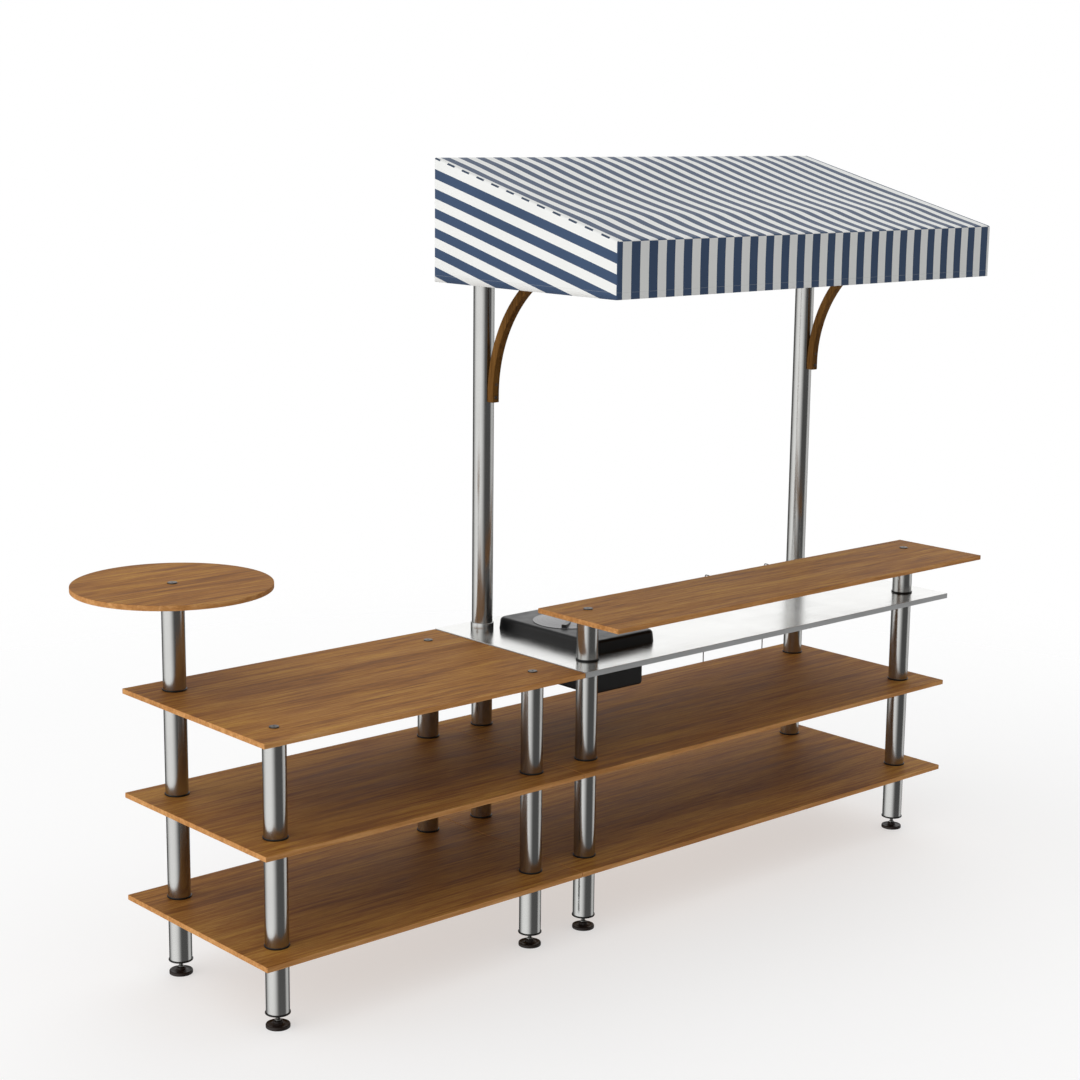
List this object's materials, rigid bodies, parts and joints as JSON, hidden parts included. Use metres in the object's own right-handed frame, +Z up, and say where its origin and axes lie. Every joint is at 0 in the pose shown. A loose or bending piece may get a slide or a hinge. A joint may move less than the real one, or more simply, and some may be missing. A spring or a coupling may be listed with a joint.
{
  "type": "concession counter",
  "caption": "Free-standing concession counter of wooden shelves on steel posts, with a stainless worktop, raised shelf, round side table, drop-in well and a striped awning.",
  "frame": {"origin": "middle of the bounding box, on the floor under the feet", "axes": "+X along the counter from the low module to the tall one, +Y from the customers' side to the rear, +Z up"},
  "size_m": [3.1869, 1.08, 2.464],
  "materials": {
    "board_wood": "satin teak-coloured veneer",
    "core_board": "raw board",
    "worktop_steel": "polished",
    "post_steel": "polished",
    "plug_plastic": "moulded",
    "zinc_steel": "zinc plated",
    "foot_rubber": "moulded",
    "dark_steel": "dark oxide",
    "frame_aluminium": "mill",
    "arm_wood": "oiled",
    "awning_fabric": "striped woven awning cloth",
    "housing_plastic": "satin moulded",
    "case_paint": "powder coated",
    "pan_steel": "spun",
    "wire_steel": "drawn"
  },
  "bodies": {
    "counter": {"arm_batten": "arm_wood", "arm_left": "arm_wood", "arm_right": "arm_wood", "arm_screws": "dark_steel", "awning_beam": "frame_aluminium", "awning_long_rails": "frame_aluminium", "awning_post_collars": "post_steel", "awning_post_left": "post_steel", "awning_post_right": "post_steel", "canopy_back": "awning_fabric", "canopy_gable_left": "awning_fabric", "canopy_gable_right": "awning_fabric", "canopy_top": "awning_fabric", "canopy_valance": "awning_fabric", "cap_nuts": "dark_steel", "counter_post_tubes": "post_steel", "counter_shelf": "board_wood", "flanged_plugs": "plug_plastic", "gable_frame_left": "frame_aluminium", "gable_frame_right": "frame_aluminium", "hanging_rail": "wire_steel", "inner_plugs": "plug_plastic", "joining_plates": "zinc_steel", "leg_plugs": "plug_plastic", "leg_tubes": "post_steel", "lower_bay_tubes": "post_steel", "round_table_top": "board_wood", "shelf_a_bottom": "board_wood", "shelf_a_middle": "board_wood", "shelf_a_top": "board_wood", "shelf_b_bottom": "board_wood", "shelf_b_middle": "board_wood", "table_post_tube": "post_steel", "tie_rods": "zinc_steel", "upper_bay_tubes": "post_steel", "well_case": "case_paint", "well_housing": "housing_plastic", "well_pan": "pan_steel", "worktop_core": "core_board", "worktop_sheet": "worktop_steel"},
    "foot_a_front_left": {"foot_pad_a_front_left": "foot_rubber", "foot_stem_a_front_left": "zinc_steel"},
    "foot_a_front_right": {"foot_pad_a_front_right": "foot_rubber", "foot_stem_a_front_right": "zinc_steel"},
    "foot_a_rear_left": {"foot_pad_a_rear_left": "foot_rubber", "foot_stem_a_rear_left": "zinc_steel"},
    "foot_a_rear_right": {"foot_pad_a_rear_right": "foot_rubber", "foot_stem_a_rear_right": "zinc_steel"},
    "foot_b_front_left": {"foot_pad_b_front_left": "foot_rubber", "foot_stem_b_front_left": "zinc_steel"},
    "foot_b_front_right": {"foot_pad_b_front_right": "foot_rubber", "foot_stem_b_front_right": "zinc_steel"},
    "foot_b_rear_left": {"foot_pad_b_rear_left": "foot_rubber", "foot_stem_b_rear_left": "zinc_steel"},
    "foot_b_rear_right": {"foot_pad_b_rear_right": "foot_rubber", "foot_stem_b_rear_right": "zinc_steel"},
    "lid": {"well_lid": "pan_steel", "lid_grip": "housing_plastic"}
  },
  "joints": [
    {"name": "level_a_front_left", "type": "slide", "parent": "counter", "child": "foot_a_front_left", "axis": [0, 0, 1], "range_m": [-0.02, 0.01]},
    {"name": "level_a_front_right", "type": "slide", "parent": "counter", "child": "foot_a_front_right", "axis": [0, 0, 1], "range_m": [-0.02, 0.01]},
    {"name": "level_a_rear_left", "type": "slide", "parent": "counter", "child": "foot_a_rear_left", "axis": [0, 0, 1], "range_m": [-0.02, 0.01]},
    {"name": "level_a_rear_right", "type": "slide", "parent": "counter", "child": "foot_a_rear_right", "axis": [0, 0, 1], "range_m": [-0.02, 0.01]},
    {"name": "level_b_front_left", "type": "slide", "parent": "counter", "child": "foot_b_front_left", "axis": [0, 0, 1], "range_m": [-0.02, 0.01]},
    {"name": "level_b_front_right", "type": "slide", "parent": "counter", "child": "foot_b_front_right", "axis": [0, 0, 1], "range_m": [-0.02, 0.01]},
    {"name": "level_b_rear_left", "type": "slide", "parent": "counter", "child": "foot_b_rear_left", "axis": [0, 0, 1], "range_m": [-0.02, 0.01]},
    {"name": "level_b_rear_right", "type": "slide", "parent": "counter", "child": "foot_b_rear_right", "axis": [0, 0, 1], "range_m": [-0.02, 0.01]},
    {"name": "lid_lift", "type": "slide", "parent": "counter", "child": "lid", "axis": [0, 0, 1], "range_m": [0, 0.12]}
  ]
}
